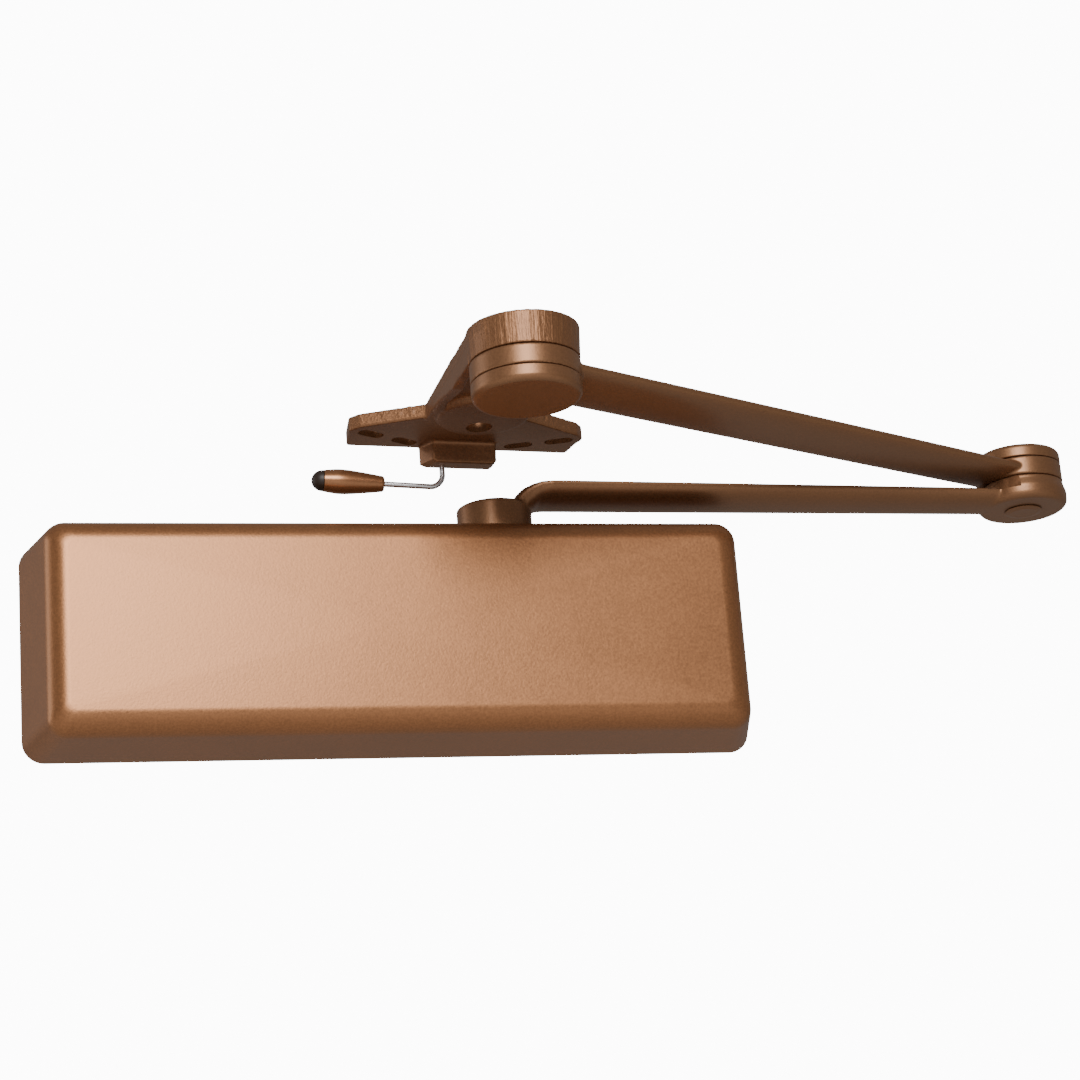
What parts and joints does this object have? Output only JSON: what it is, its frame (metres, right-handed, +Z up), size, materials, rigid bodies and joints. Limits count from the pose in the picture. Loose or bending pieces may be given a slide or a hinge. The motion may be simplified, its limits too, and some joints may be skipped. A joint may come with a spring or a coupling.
{
  "type": "door closer",
  "caption": "Surface door closer: long box cover over a rack-and-pinion cylinder, folding two-piece arm, winged frame shoe with a round drum, and a small hold-open handle.",
  "frame": {"origin": "on the flat face that bears on the door, midway between the four body fixing holes", "axes": "+X along the closer towards the elbow, +Y into the door, +Z up"},
  "size_m": [0.5016, 0.1713, 0.1511],
  "materials": {
    "bronze_paint": "satin light bronze metallic enamel with a fine flake",
    "cast_iron": "as cast, oiled",
    "bright_steel": "machined",
    "spring_steel": "dark oil tempered",
    "zinc_plate": "bright zinc plate",
    "seal_rubber": "matt black",
    "oiled_bronze": "sintered, oiled",
    "dark_tip": "dark brown, satin"
  },
  "bodies": {
    "closer_body": {"cover": "bronze_paint", "body_casting": "cast_iron", "spring_end_plug": "bright_steel", "spring_end_plug_seal": "seal_rubber", "rack_end_plug": "bright_steel", "rack_end_plug_seal": "seal_rubber", "upper_bearing": "bright_steel", "upper_gland_nut": "bright_steel", "upper_shaft_seal": "seal_rubber", "lower_bearing": "bright_steel", "lower_gland_nut": "bright_steel", "lower_shaft_seal": "seal_rubber", "cover_clip_upper": "spring_steel", "cover_clip_lower": "spring_steel", "clip_screw_upper": "zinc_plate", "clip_screw_lower": "zinc_plate", "closing_spring": "spring_steel"},
    "backcheck_screw": {"backcheck_valve": "zinc_plate", "backcheck_valve_seal": "seal_rubber"},
    "sweep_screw": {"sweep_valve": "zinc_plate", "sweep_valve_seal": "seal_rubber"},
    "latch_screw": {"latch_valve": "zinc_plate", "latch_valve_seal": "seal_rubber"},
    "main_arm_set": {"pinion_shaft": "bright_steel", "main_arm": "bronze_paint", "arm_washer": "zinc_plate", "arm_screw": "zinc_plate", "elbow_rivet": "bronze_paint", "elbow_cap": "bronze_paint"},
    "rack_piston_set": {"rack_piston": "bright_steel", "piston_seal_ring": "seal_rubber", "check_ball": "bright_steel", "check_ball_keeper": "zinc_plate"},
    "spring_seat_set": {"spring_seat": "bright_steel"},
    "spring_screw_set": {"spring_screw": "bright_steel"},
    "forearm_set": {"forearm": "bronze_paint", "elbow_bush": "oiled_bronze", "shoe_bush": "oiled_bronze"},
    "shoe_set": {"shoe_casting": "bronze_paint", "shoe_stud": "bright_steel", "stop_cushion": "seal_rubber", "cushion_washer": "bright_steel", "drum_cap": "bronze_paint"},
    "handle_set": {"handle_rod": "zinc_plate", "handle_grip": "bronze_paint", "handle_tip": "dark_tip"}
  },
  "joints": [
    {"name": "main_arm_turn", "type": "hinge", "parent": "closer_body", "child": "main_arm_set", "pos_m": [0.0525, -0.0225, 0], "axis": [0, 0, 1], "range_deg": [-110, 0], "stiffness_Nm_per_rad": 6, "springref_deg": 28.65},
    {"name": "rack_slide", "type": "slide", "parent": "closer_body", "child": "rack_piston_set", "axis": [1, 0, 0], "range_m": [-0.0217, 0], "deforming": ["closing_spring"]},
    {"name": "elbow_fold", "type": "hinge", "parent": "main_arm_set", "child": "forearm_set", "pos_m": [0.31641, -0.01559, 0], "axis": [0, 0, 1], "range_deg": [-20, 125]},
    {"name": "shoe_swivel", "type": "hinge", "parent": "forearm_set", "child": "shoe_set", "pos_m": [0.04425, -0.1406, 0], "axis": [0, 0, 1], "range_deg": [-18, 20]},
    {"name": "handle_swing", "type": "hinge", "parent": "shoe_set", "child": "handle_set", "pos_m": [0.02981, -0.02086, 0], "axis": [0, 0, 1], "range_deg": [0, 75]},
    {"name": "spring_screw_turn", "type": "hinge", "parent": "closer_body", "child": "spring_screw_set", "pos_m": [-0.143, -0.0225, 0], "axis": [1, 0, 0], "range_deg": [0, 1805]},
    {"name": "spring_seat_slide", "type": "slide", "parent": "closer_body", "child": "spring_seat_set", "axis": [1, 0, 0], "range_m": [0, 0.0125], "deforming": ["closing_spring"]},
    {"name": "sweep_turn", "type": "hinge", "parent": "closer_body", "child": "sweep_screw", "pos_m": [0.086, -0.0225, 0.03], "axis": [0, 0, 1], "range_deg": [-180, 720]},
    {"name": "latch_turn", "type": "hinge", "parent": "closer_body", "child": "latch_screw", "pos_m": [0.102, -0.0225, 0.03], "axis": [0, 0, 1], "range_deg": [-180, 720]},
    {"name": "backcheck_turn", "type": "hinge", "parent": "closer_body", "child": "backcheck_screw", "pos_m": [0.015, -0.0225, 0.03], "axis": [0, 0, 1], "range_deg": [-180, 720]}
  ],
  "couplings": [
    {"joint": "rack_slide", "follows": "main_arm_turn", "m_per_rad": 0.01125},
    {"joint": "spring_screw_turn", "follows": "spring_seat_slide", "rad_per_m": 2513.3}
  ]
}
